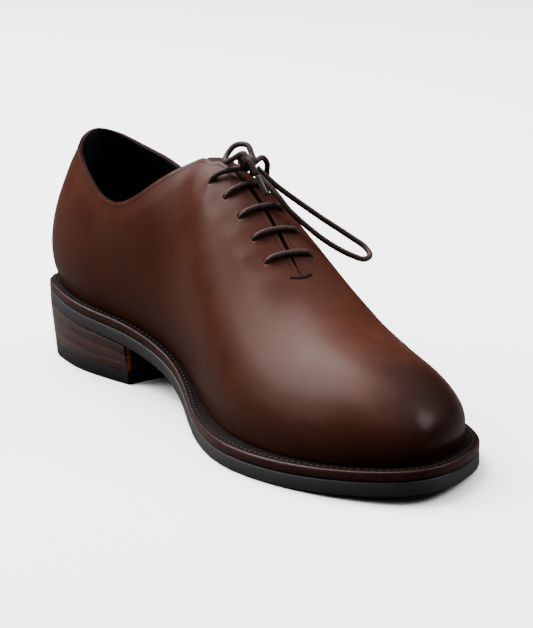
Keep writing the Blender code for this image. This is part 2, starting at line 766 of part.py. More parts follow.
def sole_centre():
    """Forward and sideways middle of the sole's plan."""
    loop = feather_loop(sole_edge)
    return (loop.min(axis=0) + loop.max(axis=0)) / 2


for old in list(bpy.data.objects):
    bpy.data.objects.remove(old)

CENTRE_FORWARD, CENTRE_SIDE = (float(v) for v in sole_centre())
END = throat_end()
make_upper(END)
make_tongue(END)
make_insole()
make_welt()
make_outsole()
make_heel()
make_lace_bars(END)
make_bow(END)
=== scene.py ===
import math

import bmesh
import bpy
from mathutils import Matrix, Vector
from mathutils.bvhtree import BVHTree
from mathutils.kdtree import KDTree


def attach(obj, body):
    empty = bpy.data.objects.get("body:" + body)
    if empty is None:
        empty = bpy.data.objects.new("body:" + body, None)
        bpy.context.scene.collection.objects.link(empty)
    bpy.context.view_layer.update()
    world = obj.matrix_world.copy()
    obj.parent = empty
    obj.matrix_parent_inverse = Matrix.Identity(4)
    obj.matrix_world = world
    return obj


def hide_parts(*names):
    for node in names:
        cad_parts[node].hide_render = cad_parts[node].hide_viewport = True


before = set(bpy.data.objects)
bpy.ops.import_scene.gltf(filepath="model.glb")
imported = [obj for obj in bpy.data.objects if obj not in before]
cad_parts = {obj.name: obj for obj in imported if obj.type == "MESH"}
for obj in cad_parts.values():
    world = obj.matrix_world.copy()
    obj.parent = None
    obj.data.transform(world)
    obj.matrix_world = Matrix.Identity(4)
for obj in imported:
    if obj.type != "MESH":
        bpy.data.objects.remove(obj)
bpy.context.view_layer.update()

# Camera, where the photograph was taken from, aimed at the one shoe
view = {
    "place": (-0.4682, -0.8063, 0.27745),
    "yaw": 30.64,  # degrees to the right of straight ahead
    "pitch": 14.16,  # degrees below the horizon
    "roll": -1.05,
    "lens": 127.8,
    "clip": (0.05, 40),
}


def makeCamera(settings):
    yaw, pitch, roll = (math.radians(settings[name]) for name in ("yaw", "pitch", "roll"))
    level = math.cos(pitch)
    ahead = Vector((math.sin(yaw) * level, math.cos(yaw) * level, -math.sin(pitch)))
    right = ahead.cross(Vector((0, 0, 1))).normalized()
    up = right.cross(ahead)
    tiltedRight = right * math.cos(roll) + up * math.sin(roll)
    tiltedUp = up * math.cos(roll) - right * math.sin(roll)
    camera = bpy.data.objects.new("camera", bpy.data.cameras.new("camera"))
    camera.data.lens = settings["lens"]
    camera.data.clip_start, camera.data.clip_end = settings["clip"]
    turn = Matrix((tiltedRight, tiltedUp, -ahead)).transposed().to_4x4()
    camera.matrix_world = Matrix.Translation(settings["place"]) @ turn
    bpy.context.scene.collection.objects.link(camera)
    bpy.context.scene.camera = camera


makeCamera(view)
print("camera made")


# Node helpers
def addNode(tree, kind, **values):
    node = tree.nodes.new(kind)
    for name, value in values.items():
        setattr(node, name, value)
    return node


def addMath(tree, operation, first, second=None):
    node = addNode(tree, "ShaderNodeMath", operation=operation)
    for socket, value in zip(node.inputs, (first, second)):
        if value is None:
            continue
        if isinstance(value, (int, float)):
            socket.default_value = value
        else:
            tree.links.new(value, socket)
    return node.outputs[0]


def addRange(tree, value, low, high, newLow=0.0, newHigh=1.0):
    node = addNode(tree, "ShaderNodeMapRange", interpolation_type="SMOOTHSTEP")
    tree.links.new(value, node.inputs["Value"])
    for name, number in (("From Min", low), ("From Max", high), ("To Min", newLow), ("To Max", newHigh)):
        node.inputs[name].default_value = number
    return node.outputs["Result"]


def addMix(tree, factor, first, second):
    node = addNode(tree, "ShaderNodeMix", data_type="RGBA")
    for socket, value in ((node.inputs[0], factor), (node.inputs[6], first), (node.inputs[7], second)):
        if isinstance(value, (int, float)):
            socket.default_value = value
        elif isinstance(value, tuple):
            socket.default_value = (*value, 1.0)
        else:
            tree.links.new(value, socket)
    return node.outputs[2]


def addNoise(tree, vector, scale, detail=2.0, roughness=0.5):
    node = addNode(tree, "ShaderNodeTexNoise")
    node.inputs["Scale"].default_value = scale
    node.inputs["Detail"].default_value = detail
    node.inputs["Roughness"].default_value = roughness
    tree.links.new(vector, node.inputs["Vector"])
    return node.outputs["Fac"]


def newMaterial(name):
    material = bpy.data.materials.new(name)
    material.use_nodes = True
    tree = material.node_tree
    return material, tree, tree.nodes["Principled BSDF"]


def addBump(tree, shader, height, distance, strength=1.0):
    bump = addNode(tree, "ShaderNodeBump")
    bump.inputs["Strength"].default_value = strength
    bump.inputs["Distance"].default_value = distance
    tree.links.new(height, bump.inputs["Height"])
    tree.links.new(bump.outputs["Normal"], shader.inputs["Normal"])
    return bump


def newGroup(name, inputs, outputs):
    group = bpy.data.node_groups.new(name, "ShaderNodeTree")
    for label, kind, value in inputs:
        socket = group.interface.new_socket(label, in_out="INPUT", socket_type=kind)
        if value is not None:
            socket.default_value = value
    for label, kind in outputs:
        group.interface.new_socket(label, in_out="OUTPUT", socket_type=kind)
    return group, addNode(group, "NodeGroupInput").outputs, addNode(group, "NodeGroupOutput").inputs


def useGroup(tree, group, vector, **values):
    node = addNode(tree, "ShaderNodeGroup", node_tree=group)
    tree.links.new(vector, node.inputs["Vector"])
    for name, value in values.items():
        node.inputs[name].default_value = (*value, 1.0) if isinstance(value, tuple) else value
    return node.outputs


# Leather grain: fine pores over a faint, larger unevenness, with a mottled tone
grainShape = {
    "pores": 2600.0,
    "poreDepth": 0.5,  # against the finer unevenness
    "fine": 420.0,
    "mottle": 60.0,
    "mottleSpan": (0.3, 0.7),  # noise from all dark to all light
}


def makeGrainGroup(settings):
    group, source, result = newGroup(
        "leatherGrain",
        [("Vector", "NodeSocketVector", None),
         ("Pores", "NodeSocketFloat", settings["pores"]), ("Mottle", "NodeSocketFloat", settings["mottle"]),
         ("Light", "NodeSocketColor", (0.2, 0.07, 0.04, 1)), ("Dark", "NodeSocketColor", (0.1, 0.03, 0.02, 1)),
         ("Rough Low", "NodeSocketFloat", 0.3), ("Rough High", "NodeSocketFloat", 0.45)],
        [("Color", "NodeSocketColor"), ("Roughness", "NodeSocketFloat"), ("Height", "NodeSocketFloat")],
    )
    pores = addNode(group, "ShaderNodeTexVoronoi", feature="F1")
    group.links.new(source["Vector"], pores.inputs["Vector"])
    group.links.new(source["Pores"], pores.inputs["Scale"])
    mottle = addNode(group, "ShaderNodeTexNoise")
    mottle.inputs["Detail"].default_value = 5.0
    group.links.new(source["Vector"], mottle.inputs["Vector"])
    group.links.new(source["Mottle"], mottle.inputs["Scale"])
    tone = addRange(group, mottle.outputs["Fac"], *settings["mottleSpan"])
    group.links.new(addMix(group, tone, source["Dark"], source["Light"]), result["Color"])
    spread = addMath(group, "SUBTRACT", source["Rough High"], source["Rough Low"])
    rougher = addMath(group, "MULTIPLY", tone, spread)
    group.links.new(addMath(group, "ADD", source["Rough Low"], rougher), result["Roughness"])
    fine = addNoise(group, source["Vector"], settings["fine"], 3.0)
    pits = addMath(group, "MULTIPLY", pores.outputs["Distance"], settings["poreDepth"])
    group.links.new(addMath(group, "ADD", pits, fine), result["Height"])
    return group


# Plaited cord, from the piece's own UV: x along the cord in cord widths, y once round
plaitShape = {"along": 1.6, "round": 4.0, "shade": (0.55, 1.0)}


def makePlaitGroup(settings):
    group, source, result = newGroup(
        "cordPlait",
        [("Vector", "NodeSocketVector", None), ("Along", "NodeSocketFloat", settings["along"]),
         ("Round", "NodeSocketFloat", settings["round"])],
        [("Height", "NodeSocketFloat"), ("Shade", "NodeSocketFloat")],
    )
    split = addNode(group, "ShaderNodeSeparateXYZ")
    group.links.new(source["Vector"], split.inputs[0])
    along = addMath(group, "MULTIPLY", split.outputs["X"], source["Along"])
    around = addMath(group, "MULTIPLY", split.outputs["Y"], source["Round"])
    waves = []
    for operation in ("ADD", "SUBTRACT"):
        turn = addMath(group, "MULTIPLY", addMath(group, operation, along, around), math.pi)
        waves.append(addMath(group, "ABSOLUTE", addMath(group, "SINE", turn)))
    height = addMath(group, "MAXIMUM", waves[0], waves[1])
    group.links.new(height, result["Height"])
    # painted shade: the Shade output darkens the cord's colour in the furrows between the strands
    group.links.new(addRange(group, height, *settings["shade"]), result["Shade"])
    return group


grainGroup = makeGrainGroup(grainShape)
plaitGroup = makePlaitGroup(plaitShape)

# Calf of the upper, burnished at the toe and the heel, with painted shade darkening it towards the feather line
calfLook = {
    "light": (0.035, 0.0094, 0.0049),
    "dark": (0.029, 0.0076, 0.0040),
    "mottle": 90.0,
    # dark tone of the toe and heel burnish, also used for the painted shade towards the feather line
    "burnishAndShade": (0.0065, 0.0027, 0.0021),
    "toeSpot": (0.014, -0.134, 0.030),  # middle of the toe's burnish, on its outer side
    "toeReach": (0.046, 0.014),  # nothing at the first distance, full at the second
    "toeShare": 0.85,
    "toePolish": 0.10,  # taken from the roughness
    "heelLine": (0.124, 0.150),
    "heelShare": 0.5,
    # painted shade: the calf darkens towards the feather line, nothing at the first height, full at the second
    "featherShadeLine": (0.050, 0.020),
    "featherShadeShare": 0.42,
    "wander": (30.0, 0.02),  # how the edges of the burnish and of the painted shade stray: noise scale and distance
    "rough": (0.41, 0.48),
    "bump": (0.00003, 0.35),
    "specular": 0.045,
    "tint": (1.0, 0.62, 0.52),  # warm gloss of brown wax
    "coat": 0.045,
    "coatRough": 0.27,
}


def useGrain(tree, coords, light, dark, rough, mottle):
    grain = useGroup(tree, grainGroup, coords, Light=light, Dark=dark, Mottle=mottle)
    grain["Roughness"].node.inputs["Rough Low"].default_value = rough[0]
    grain["Roughness"].node.inputs["Rough High"].default_value = rough[1]
    return grain


def makeCalf(look):
    material, tree, shader = newMaterial("chestnutCalf")
    coords = addNode(tree, "ShaderNodeTexCoord").outputs["Object"]
    grain = useGrain(tree, coords, look["light"], look["dark"], look["rough"], look["mottle"])
    split = addNode(tree, "ShaderNodeSeparateXYZ")
    tree.links.new(coords, split.inputs[0])
    scale, distance = look["wander"]
    stray = addMath(tree, "SUBTRACT", addNoise(tree, coords, scale, 4.0), 0.5)
    wander = addMath(tree, "MULTIPLY", stray, distance)
    backward = addMath(tree, "ADD", split.outputs["Y"], wander)
    upward = addMath(tree, "ADD", split.outputs["Z"], wander)
    toGo = addNode(tree, "ShaderNodeVectorMath", operation="DISTANCE")
    tree.links.new(coords, toGo.inputs[0])
    toGo.inputs[1].default_value = look["toeSpot"]
    toe = addRange(tree, addMath(tree, "ADD", toGo.outputs["Value"], wander), *look["toeReach"])
    heel = addRange(tree, backward, *look["heelLine"], 0.0, look["heelShare"])
    # painted shade on the lower sides, darker towards the feather line
    feather = addRange(tree, upward, *look["featherShadeLine"], 0.0, look["featherShadeShare"])
    burnishAndShade = addMath(tree, "MULTIPLY", toe, look["toeShare"])
    burnishAndShade = addMath(tree, "MAXIMUM", burnishAndShade, addMath(tree, "MAXIMUM", heel, feather))
    tree.links.new(addMix(tree, burnishAndShade, grain["Color"], look["burnishAndShade"]), shader.inputs["Base Color"])
    polish = addMath(tree, "MULTIPLY", toe, look["toePolish"])
    tree.links.new(addMath(tree, "SUBTRACT", grain["Roughness"], polish), shader.inputs["Roughness"])
    shader.inputs["Specular IOR Level"].default_value = look["specular"]
    shader.inputs["Specular Tint"].default_value = (*look["tint"], 1.0)
    shader.inputs["Coat Weight"].default_value = look["coat"]
    shader.inputs["Coat Roughness"].default_value = look["coatRough"]
    addBump(tree, shader, grain["Height"], *look["bump"])
    return material


# The plainer leathers
leatherLooks = {
    "blackLining": {
        "light": (0.0065, 0.0060, 0.0060), "dark": (0.0035, 0.0033, 0.0033), "rough": (0.60, 0.75),
    },
    "dyedEdge": {
        "light": (0.012, 0.0046, 0.0034), "dark": (0.007, 0.0028, 0.0022), "rough": (0.60, 0.72), "gloss": 0.03,
    },
    "darkTongue": {
        "light": (0.020, 0.0075, 0.006), "dark": (0.012, 0.005, 0.004), "rough": (0.42, 0.55),
    },
    "waxedWelt": {
        "light": (0.0045, 0.0020, 0.0016), "dark": (0.0026, 0.0013, 0.0011), "rough": (0.55, 0.70), "gloss": 0.03,
    },
    "weltEdge": {
        "light": (0.024, 0.0072, 0.0052), "dark": (0.014, 0.0048, 0.0038), "rough": (0.30, 0.45), "gloss": 0.07,
        "mottle": 150.0, "bump": 0.5,
    },
}


def makeLeather(name, light, dark, rough, gloss=0.08, mottle=120.0, bump=0.4):
    material, tree, shader = newMaterial(name)
    coords = addNode(tree, "ShaderNodeTexCoord").outputs["Object"]
    grain = useGrain(tree, coords, light, dark, rough, mottle)
    tree.links.new(grain["Color"], shader.inputs["Base Color"])
    tree.links.new(grain["Roughness"], shader.inputs["Roughness"])
    shader.inputs["Specular IOR Level"].default_value = gloss
    addBump(tree, shader, grain["Height"], 0.00004, bump)
    return material


calf = makeCalf(calfLook)
lining, edgeDye, tongueCalf, weltTop, weltEdge = (
    makeLeather(name, **look) for name, look in leatherLooks.items()
)

# Threads and laces
threadLook = {"fibre": 3000.0, "shade": 0.6, "rough": 0.55, "specular": 0.05, "bump": (0.00004, 0.6)}
laceLook = {
    # painted shade: colour of the plait's furrows, between the strands
    "furrowShade": (0.0085, 0.0047, 0.0041),
    "strand": (0.030, 0.0150, 0.0125),
    "rough": 0.52,
    "specular": 0.12,
    "bump": (0.00016, 0.8),
}


def makeThread(name, color, look):
    material, tree, shader = newMaterial(name)
    coords = addNode(tree, "ShaderNodeTexCoord").outputs["Object"]
    fibre = addNoise(tree, coords, look["fibre"], 2.0)
    dark = tuple(c * look["shade"] for c in color)
    tree.links.new(addMix(tree, fibre, dark, color), shader.inputs["Base Color"])
    shader.inputs["Roughness"].default_value = look["rough"]
    shader.inputs["Specular IOR Level"].default_value = look["specular"]
    addBump(tree, shader, fibre, *look["bump"])
    return material


def makeLaceCord(look):
    material, tree, shader = newMaterial("waxedLace")
    place = addNode(tree, "ShaderNodeUVMap").outputs["UV"]
    plait = useGroup(tree, plaitGroup, place)
    tree.links.new(addMix(tree, plait["Shade"], look["furrowShade"], look["strand"]), shader.inputs["Base Color"])
    shader.inputs["Roughness"].default_value = look["rough"]
    shader.inputs["Specular IOR Level"].default_value = look["specular"]
    addBump(tree, shader, plait["Height"], *look["bump"])
    return material


laceCord = makeLaceCord(laceLook)
upperThread = makeThread("upperThread", (0.010, 0.0042, 0.0034), threadLook)
weltThread = makeThread("weltThread", (0.011, 0.0050, 0.0040), threadLook)
print("leathers, threads and lace made")


# Mesh helpers
def nodeMesh(name):
    bm = bmesh.new()
    bm.from_mesh(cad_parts[name].data)
    bmesh.ops.remove_doubles(bm, verts=bm.verts, dist=0.00002)
    bm.normal_update()
    return bm


def joinPairs(bm):
    bmesh.ops.join_triangles(
        bm, faces=bm.faces, angle_face_threshold=math.radians(60), angle_shape_threshold=math.pi,
        cmp_seam=False, cmp_sharp=False, cmp_uvs=False, cmp_vcols=False, cmp_materials=False,
    )


def finishPiece(name, bm, materials, nodes=()):
    data = bpy.data.meshes.new(name)
    bm.to_mesh(data)
    bm.free()
    for material in materials:
        data.materials.append(material)
    for face in data.polygons:
        face.use_smooth = True
    piece = bpy.data.objects.new(name, data)
    bpy.context.scene.collection.objects.link(piece)
    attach(piece, "root")
    if nodes:
        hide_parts(*nodes)
    return piece


def roundEdges(piece, width, segments=2, angle=32):
    bevel = piece.modifiers.new("roundEdges", "BEVEL")
    bevel.width = width
    bevel.segments = segments
    bevel.limit_method = "ANGLE"
    bevel.angle_limit = math.radians(angle)
    bevel.harden_normals = True


def subdivided(bm, levels):
    data = bpy.data.meshes.new("coarse")
    bm.to_mesh(data)
    bm.free()
    shape = bpy.data.objects.new("coarse", data)
    bpy.context.scene.collection.objects.link(shape)
    finer = shape.modifiers.new("finer", "SUBSURF")
    finer.levels = finer.render_levels = levels
    done = bpy.data.meshes.new_from_object(shape.evaluated_get(bpy.context.evaluated_depsgraph_get()))
    bpy.data.objects.remove(shape)
    bm = bmesh.new()
    bm.from_mesh(done)
    bm.normal_update()
    return bm


def openLoops(bm, keep=lambda edge: edge.is_boundary):
    left = {edge for edge in bm.edges if keep(edge)}
    loops = []
    while left:
        edge = min(left, key=lambda e: e.index)
        left.discard(edge)
        loop = [edge.verts[0], edge.verts[1]]
        while True:
            following = [e for e in loop[-1].link_edges if e in left]
            if not following:
                break
            left.discard(following[0])
            loop.append(following[0].other_vert(loop[-1]))
        loops.append(loop[:-1] if loop[0] is loop[-1] else loop)
    return sorted(loops, key=lambda loop: -sum((a.co - b.co).length for a, b in zip(loop, loop[1:])))


def evenly(points, pitch):
    line = [*points, points[0]]
    total = sum((a - b).length for a, b in zip(line, line[1:]))
    step = total / max(1, round(total / pitch))
    spots, run, wanted = [], 0.0, 0.0
    for a, b in zip(line, line[1:]):
        length = (b - a).length
        while length > 0 and wanted <= run + length + 1e-9:
            spots.append(a.lerp(b, (wanted - run) / length))
            wanted += step
        run += length
    return spots[:-1]


def addStitch(bm, spot, along, normal, size):
    side = normal.cross(along).normalized()
    turn = Matrix((along, side, side.cross(along) * -1)).transposed().to_4x4()
    bmesh.ops.create_icosphere(
        bm, subdivisions=2, radius=0.5,
        matrix=Matrix.Translation(spot) @ turn @ Matrix.Diagonal((*size, 1.0)),
    )


# Cords
def routeThrough(points, parts=5):
    points = [Vector(p) for p in points]
    guide = [points[0] * 2 - points[1], *points, points[-1] * 2 - points[-2]]
    line = []
    for a, b, c, d in zip(guide, guide[1:], guide[2:], guide[3:]):
        for k in range(parts):
            t = k / parts
            bend = (a * 2 - b * 5 + c * 4 - d) * t * t + (b * 3 - a - c * 3 + d) * t ** 3
            line.append((b * 2 + (c - a) * t + bend) / 2)
    return [*line, points[-1]]


def addTube(bm, line, radii, sides=16):
    uv = bm.loops.layers.uv.verify()
    place, rings, run, side = {}, [], 0.0, None
    last = len(line) - 1
    for k, spot in enumerate(line):
        ahead = (line[min(k + 1, last)] - line[max(k - 1, 0)]).normalized()
        side = ahead.orthogonal() if side is None else side - ahead * side.dot(ahead)
        side.normalize()
        run += (spot - line[k - 1]).length if k else 0.0
        turn = Matrix((side, ahead.cross(side), ahead)).transposed().to_4x4()
        radius = radii[k] if isinstance(radii, list) else radii
        ring = bmesh.ops.create_circle(
            bm, cap_ends=k in (0, last), segments=sides, radius=radius,
            matrix=Matrix.Translation(spot) @ turn,
        )["verts"]
        for index, vert in enumerate(ring):
            place[vert] = (run / (2 * lace["radius"]), index)
        rings.append(ring)
    for here, there in zip(rings, rings[1:]):
        both = (set(here), set(there))
        around = [edge for vert in (*here, *there) for edge in vert.link_edges]
        edges = [edge for edge in around if any(set(edge.verts) <= ring for ring in both)]
        for face in bmesh.ops.bridge_loops(bm, edges=list(dict.fromkeys(edges)))["faces"]:
            seam = {place[loop.vert][1] for loop in face.loops} == {0, sides - 1}
            for loop in face.loops:
                along, index = place[loop.vert]
                loop[uv].uv = (along, (sides if seam and index == 0 else index) / sides)
    bmesh.ops.recalc_face_normals(bm, faces=[f for f in bm.faces if any(v in place for v in f.verts)])


def makeCord(name, line, nodes):
    bm = bmesh.new()
    addTube(bm, line, lace["radius"])
    return finishPiece(name, bm, [laceCord], nodes)


lace = {
    "radius": 0.00125,
    "intoEyelet": (0.0034, 0.0007),  # depths under the upper that the lace comes up through
    "clear": 0.0002,
    "shares": (0.13, 0.25, 0.37, 0.50, 0.63, 0.75, 0.87),  # where a run across is laid on the upper
    "above": 0.020,
    "sag": 0.001,  # past this the lace spans the throat
    "leaving": (0.45, 0.0006),  # how a rise leaves its eyelet: share of the way, height
}

# Where the bow's cords run, as in the CAD model, with a little more length inside the knot
bow = {
    "loopLong": (
        (0.00455, -0.00229, 0.10636), (0.00791, -0.00465, 0.10230), (0.01158, -0.00674, 0.09835),
        (0.01573, -0.00833, 0.09467), (0.02001, -0.00995, 0.09114), (0.02417, -0.01192, 0.08765),
        (0.02827, -0.01413, 0.08422), (0.03237, -0.01652, 0.08092), (0.03638, -0.01914, 0.07769),
        (0.04012, -0.02214, 0.07448), (0.04321, -0.02595, 0.07146), (0.04312, -0.03062, 0.06852),
        (0.03831, -0.03314, 0.06769), (0.03299, -0.03280, 0.06981), (0.02813, -0.03126, 0.07254),
        (0.02373, -0.02920, 0.07566), (0.01970, -0.02692, 0.07910), (0.01598, -0.02451, 0.08282),
        (0.01245, -0.02206, 0.08668), (0.00919, -0.01961, 0.09077), (0.00675, -0.01695, 0.09527),
        (0.00494, -0.01312, 0.09918), (0.00327, -0.00872, 0.10254), (0.00163, -0.00419, 0.10572),
    ),
    "loopShort": (
        (0.00430, -0.00150, 0.10845), (0.00433, 0.00083, 0.11096), (0.00423, 0.00486, 0.11497),
        (0.00083, 0.00942, 0.11452), (-0.00326, 0.00983, 0.11034), (-0.00611, 0.00512, 0.10879),
        (-0.00503, -0.00020, 0.11121), (-0.00379, -0.00523, 0.11373), (-0.00333, -0.00766, 0.11204),
        (-0.00287, -0.01009, 0.11037), (-0.00193, -0.01344, 0.10536),
    ),
    "endSide": (
        (0.00547, 0.00076, 0.10803), (0.01021, 0.00253, 0.10931), (0.01388, 0.00466, 0.10600),
        (0.01543, 0.00771, 0.10175), (0.01743, 0.01056, 0.09757), (0.02030, 0.01281, 0.09350),
        (0.02314, 0.01297, 0.08888), (0.02567, 0.01180, 0.08418), (0.02807, 0.01033, 0.07949),
        (0.03044, 0.00898, 0.07475),
    ),
    "aglets": (((-0.00189, -0.01360, 0.10512), (-0.00047, -0.01866, 0.09756)),
               ((0.03057, 0.00890, 0.07449), (0.03457, 0.00663, 0.06652))),
    "knot": (0.0005, -0.0005, 0.1085),
}


aglet = {
    "profile": (  # share of the length, share of the lace's radius
        (0.0, 0.93), (0.03, 1.0), (0.08, 0.98), (0.5, 0.94), (0.90, 0.92), (0.97, 0.82), (1.0, 0.60),
    ),
    "dark": (0.012, 0.010, 0.010),
    "light": (0.026, 0.023, 0.023),
    "haze": 900.0,
    "rough": 0.30,
    "specular": 0.25,
    "bump": (0.00005, 0.3),
}


def makeAgletFilm(look):
    material, tree, shader = newMaterial("agletFilm")
    coords = addNode(tree, "ShaderNodeTexCoord").outputs["Object"]
    haze = addNoise(tree, coords, look["haze"], 2.0)
    tree.links.new(addMix(tree, haze, look["dark"], look["light"]), shader.inputs["Base Color"])
    shader.inputs["Roughness"].default_value = look["rough"]
    shader.inputs["Specular IOR Level"].default_value = look["specular"]
    addBump(tree, shader, haze, *look["bump"])
    return material


def makeAglet(name, ends, node):
    low, high = Vector(ends[0]), Vector(ends[1])
    line = [low.lerp(high, share) for share, _ in aglet["profile"]]
    bm = bmesh.new()
    addTube(bm, line, [lace["radius"] * width for _, width in aglet["profile"]])
    return finishPiece(name, bm, [agletFilm], [node])


agletFilm = makeAgletFilm(aglet)
agletFront = makeAglet("agletFront", bow["aglets"][0], "lace_aglet_front")
agletSide = makeAglet("agletSide", bow["aglets"][1], "lace_aglet_side")


def lineLength(line):
    return sum((a - b).length for a, b in zip(line, line[1:]))


longLine = routeThrough(bow["loopLong"])
loopLong = makeCord("laceLoopLong", longLine, ["lace_loop_long"])
shortLine = routeThrough(bow["loopShort"])
loopShort = makeCord("laceLoopShort", shortLine, ["lace_loop_short", "lace_end_front"])
sideLine = routeThrough(bow["endSide"])
endSide = makeCord("laceEndSide", sideLine, ["lace_end_side"])
print("bow cords", [round(lineLength(line), 4) for line in (longLine, shortLine, sideLine)])


# Upper, one piece of calf over its lining
upperShape = {
    "wall": 0.0019,
    "fold": 55,  # degrees at which the outer skin ends
    "finer": 2,
    "smoothing": 26,
    "swell": 0.00050,  # makes up for what the smoothing draws in
    "rimFade": 0.009,  # the swell is full this far from a rim
    "edgeRound": 0.00045,
    "throat": {  # the facings drawn together
        "middle": 0.0004, "close": 0.0008, "wide": 0.016, "slit": 0.001, "low": 0.062, "fade": 0.012,
    },
    "toplineStitch": {"inset": 0.0019, "pitch": 0.00125, "size": (0.00105, 0.00036, 0.00030)},
}


def outerSkin(name, fold):
    bm = nodeMesh(name)
    start = min(bm.faces, key=lambda face: face.calc_center_median().y)
    found, waiting = {start}, [start]
    while waiting:
        for edge in waiting.pop().edges:
            if len(edge.link_faces) == 2 and edge.calc_face_angle() < fold:
                for face in edge.link_faces:
                    if face not in found:
                        found.add(face)
                        waiting.append(face)
    bmesh.ops.delete(bm, geom=[face for face in bm.faces if face not in found], context="FACES")
    return bm


def makeUpper(settings):
    bm = outerSkin("upper", math.radians(settings["fold"]))
    joinPairs(bm)
    bm = subdivided(bm, settings["finer"])
    rim = {vert for edge in bm.edges if edge.is_boundary for vert in edge.verts}
    inner = [vert for vert in bm.verts if vert not in rim]
    for _ in range(settings["smoothing"]):
        bmesh.ops.smooth_vert(bm, verts=inner, factor=0.5, use_axis_x=True, use_axis_y=True, use_axis_z=True)
    bm.normal_update()
    rimTree = KDTree(len(rim))
    for index, vert in enumerate(sorted(rim, key=lambda vert: vert.index)):
        rimTree.insert(vert.co, index)
    rimTree.balance()
    for vert in inner:
        share = min(1.0, rimTree.find(vert.co)[2] / settings["rimFade"])
        vert.co += vert.normal * settings["swell"] * share * share
    throat = settings["throat"]
    for vert in bm.verts:
        aside = vert.co.x - throat["middle"]
        share = min(1.0, max(0.0, (vert.co.z - throat["low"]) / throat["fade"]))
        share *= max(0.0, 1 - abs(aside) / throat["wide"])
        vert.co.x -= math.copysign(throat["close"] * share * min(1.0, abs(aside) / throat["slit"]), aside)
    bm.normal_update()
    return bm


upperMesh = makeUpper(upperShape)
upperTree = BVHTree.FromBMesh(upperMesh)
upperLoops = [[vert.co.copy() for vert in loop] for loop in openLoops(upperMesh)]
mouths = [loop for loop in upperLoops if lineLength(loop) > 0.1]  # collar with throat, and feather line
topline = max(mouths, key=lambda loop: max(point.z for point in loop))
eyelets = [sum(loop, Vector()) / len(loop) for loop in upperLoops if lineLength(loop) < 0.03]
upper = finishPiece("calfUpper", upperMesh, [calf, lining, edgeDye], ["upper"])
wall = upper.modifiers.new("wall", "SOLIDIFY")
wall.thickness, wall.offset = upperShape["wall"], -1
wall.material_offset, wall.material_offset_rim = 1, 2
roundEdges(upper, upperShape["edgeRound"], 2, 50)
print("upper made,", len(eyelets), "eyelets,", len(upper.data.polygons), "faces")


def insetLine(loop, inset, tree):
    count, line = len(loop), []
    for k, spot in enumerate(loop):
        along = (loop[(k + 1) % count] - loop[k - 1]).normalized()
        _, normal, _, _ = tree.find_nearest(spot)
        best = None
        for sign in (-1, 1):
            place, facing, _, away = tree.find_nearest(spot + normal.cross(along) * sign * inset)
            if best is None or away < best[0]:
                best = (away, place, facing)
        line.append((best[1], best[2]))
    return line


def sewAlong(bm, loop, tree, settings):
    line = insetLine(evenly(loop, settings["pitch"]), settings["inset"], tree)
    count = len(line)
    for k, (spot, normal) in enumerate(line):
        along = (line[(k + 1) % count][0] - line[k - 1][0]).normalized()
        addStitch(bm, spot, along, normal, settings["size"])


bm = bmesh.new()
sewAlong(bm, topline, upperTree, upperShape["toplineStitch"])
finishPiece("toplineStitching", bm, [upperThread])

# The throat's sewn end and the bar tack across it
barTack = {
    "half": 0.0049,
    "ahead": 0.0036,  # past the end of the slit
    "bow": 0.0013,
    "pitch": 0.00036,
    "size": (0.00050, 0.0021, 0.0008),
    "seamStitches": 6,
    "seamSize": (0.0011, 0.0013, 0.0007),
    "inward": (0, 0.01, -0.03),  # onto the vamp there
}
throatEnd = min((point for point in topline if abs(point.x) < 0.02), key=lambda point: point.y)


def onUpper(guess):
    inward = Vector(barTack["inward"]).normalized()
    return upperTree.ray_cast(guess - inward * 0.03, inward)[:2]


def sewLine(bm, guesses, size):
    line = [onUpper(guess) for guess in guesses]
    last = len(line) - 1
    for k, (spot, normal) in enumerate(line):
        along = (line[min(k + 1, last)][0] - line[max(k - 1, 0)][0]).normalized()
        addStitch(bm, spot, along, normal, size)


def makeBarTack(settings):
    bm = bmesh.new()
    count = round(2 * settings["half"] / settings["pitch"])
    tack = []
    for k in range(count + 1):
        share = 2 * k / count - 1
        forward = -settings["ahead"] + settings["bow"] * share * share
        tack.append(throatEnd + Vector((share * settings["half"], forward, 0)))
    sewLine(bm, tack, settings["size"])
    step = settings["ahead"] / settings["seamStitches"]
    seam = [throatEnd + Vector((0, -step * k, 0)) for k in range(settings["seamStitches"] + 1)]
    sewLine(bm, seam, settings["seamSize"])
    return finishPiece("barTack", bm, [upperThread])


makeBarTack(barTack)
print("stitching sewn")


# Laces through the eyelets
laceRuns = {  # eyelet to eyelet
    "2": ((-0.01233, -0.00265, 0.09673), (0.01133, -0.00251, 0.09704)),
    "3": ((-0.01155, -0.01394, 0.09009), (0.01194, -0.01389, 0.09024)),
    "4": ((-0.01107, -0.02427, 0.08254), (0.01235, -0.02429, 0.08256)),
    "5": ((-0.01091, -0.03442, 0.07463), (0.01255, -0.03447, 0.07458)),
}
laceRises = {  # top eyelet to knot
    "Inner": ((-0.01306, 0.00949, 0.10159), (-0.00769, 0.00641, 0.10444),
              (-0.00499, 0.00447, 0.10526), (-0.00150, 0.00190, 0.10615)),
    "Outer": ((0.01062, 0.00963, 0.10207), (0.00707, 0.00631, 0.10470),
              (0.00515, 0.00440, 0.10538), (0.00250, 0.00190, 0.10615)),
}


def intoEyelet(point):
    hole = min(eyelets, key=lambda centre: (centre - Vector(point)).length)
    _, normal, _, _ = upperTree.find_nearest(hole)
    return hole, normal, [hole - normal * depth for depth in lace["intoEyelet"]]


def acrossThroat(ends):
    (first, firstFacing, start), (last, lastFacing, finish) = map(intoEyelet, ends)
    away = (firstFacing + lastFacing).normalized()
    route = list(start)
    for share in lace["shares"]:
        above = first.lerp(last, share) + away * lace["above"]
        hit, facing, _, depth = upperTree.ray_cast(above, -away)
        if hit is not None and depth < lace["above"] + lace["sag"]:
            route.append(hit + away * (lace["radius"] / max(0.6, away.dot(facing)) + lace["clear"]))
    return [*route, *finish[::-1]]


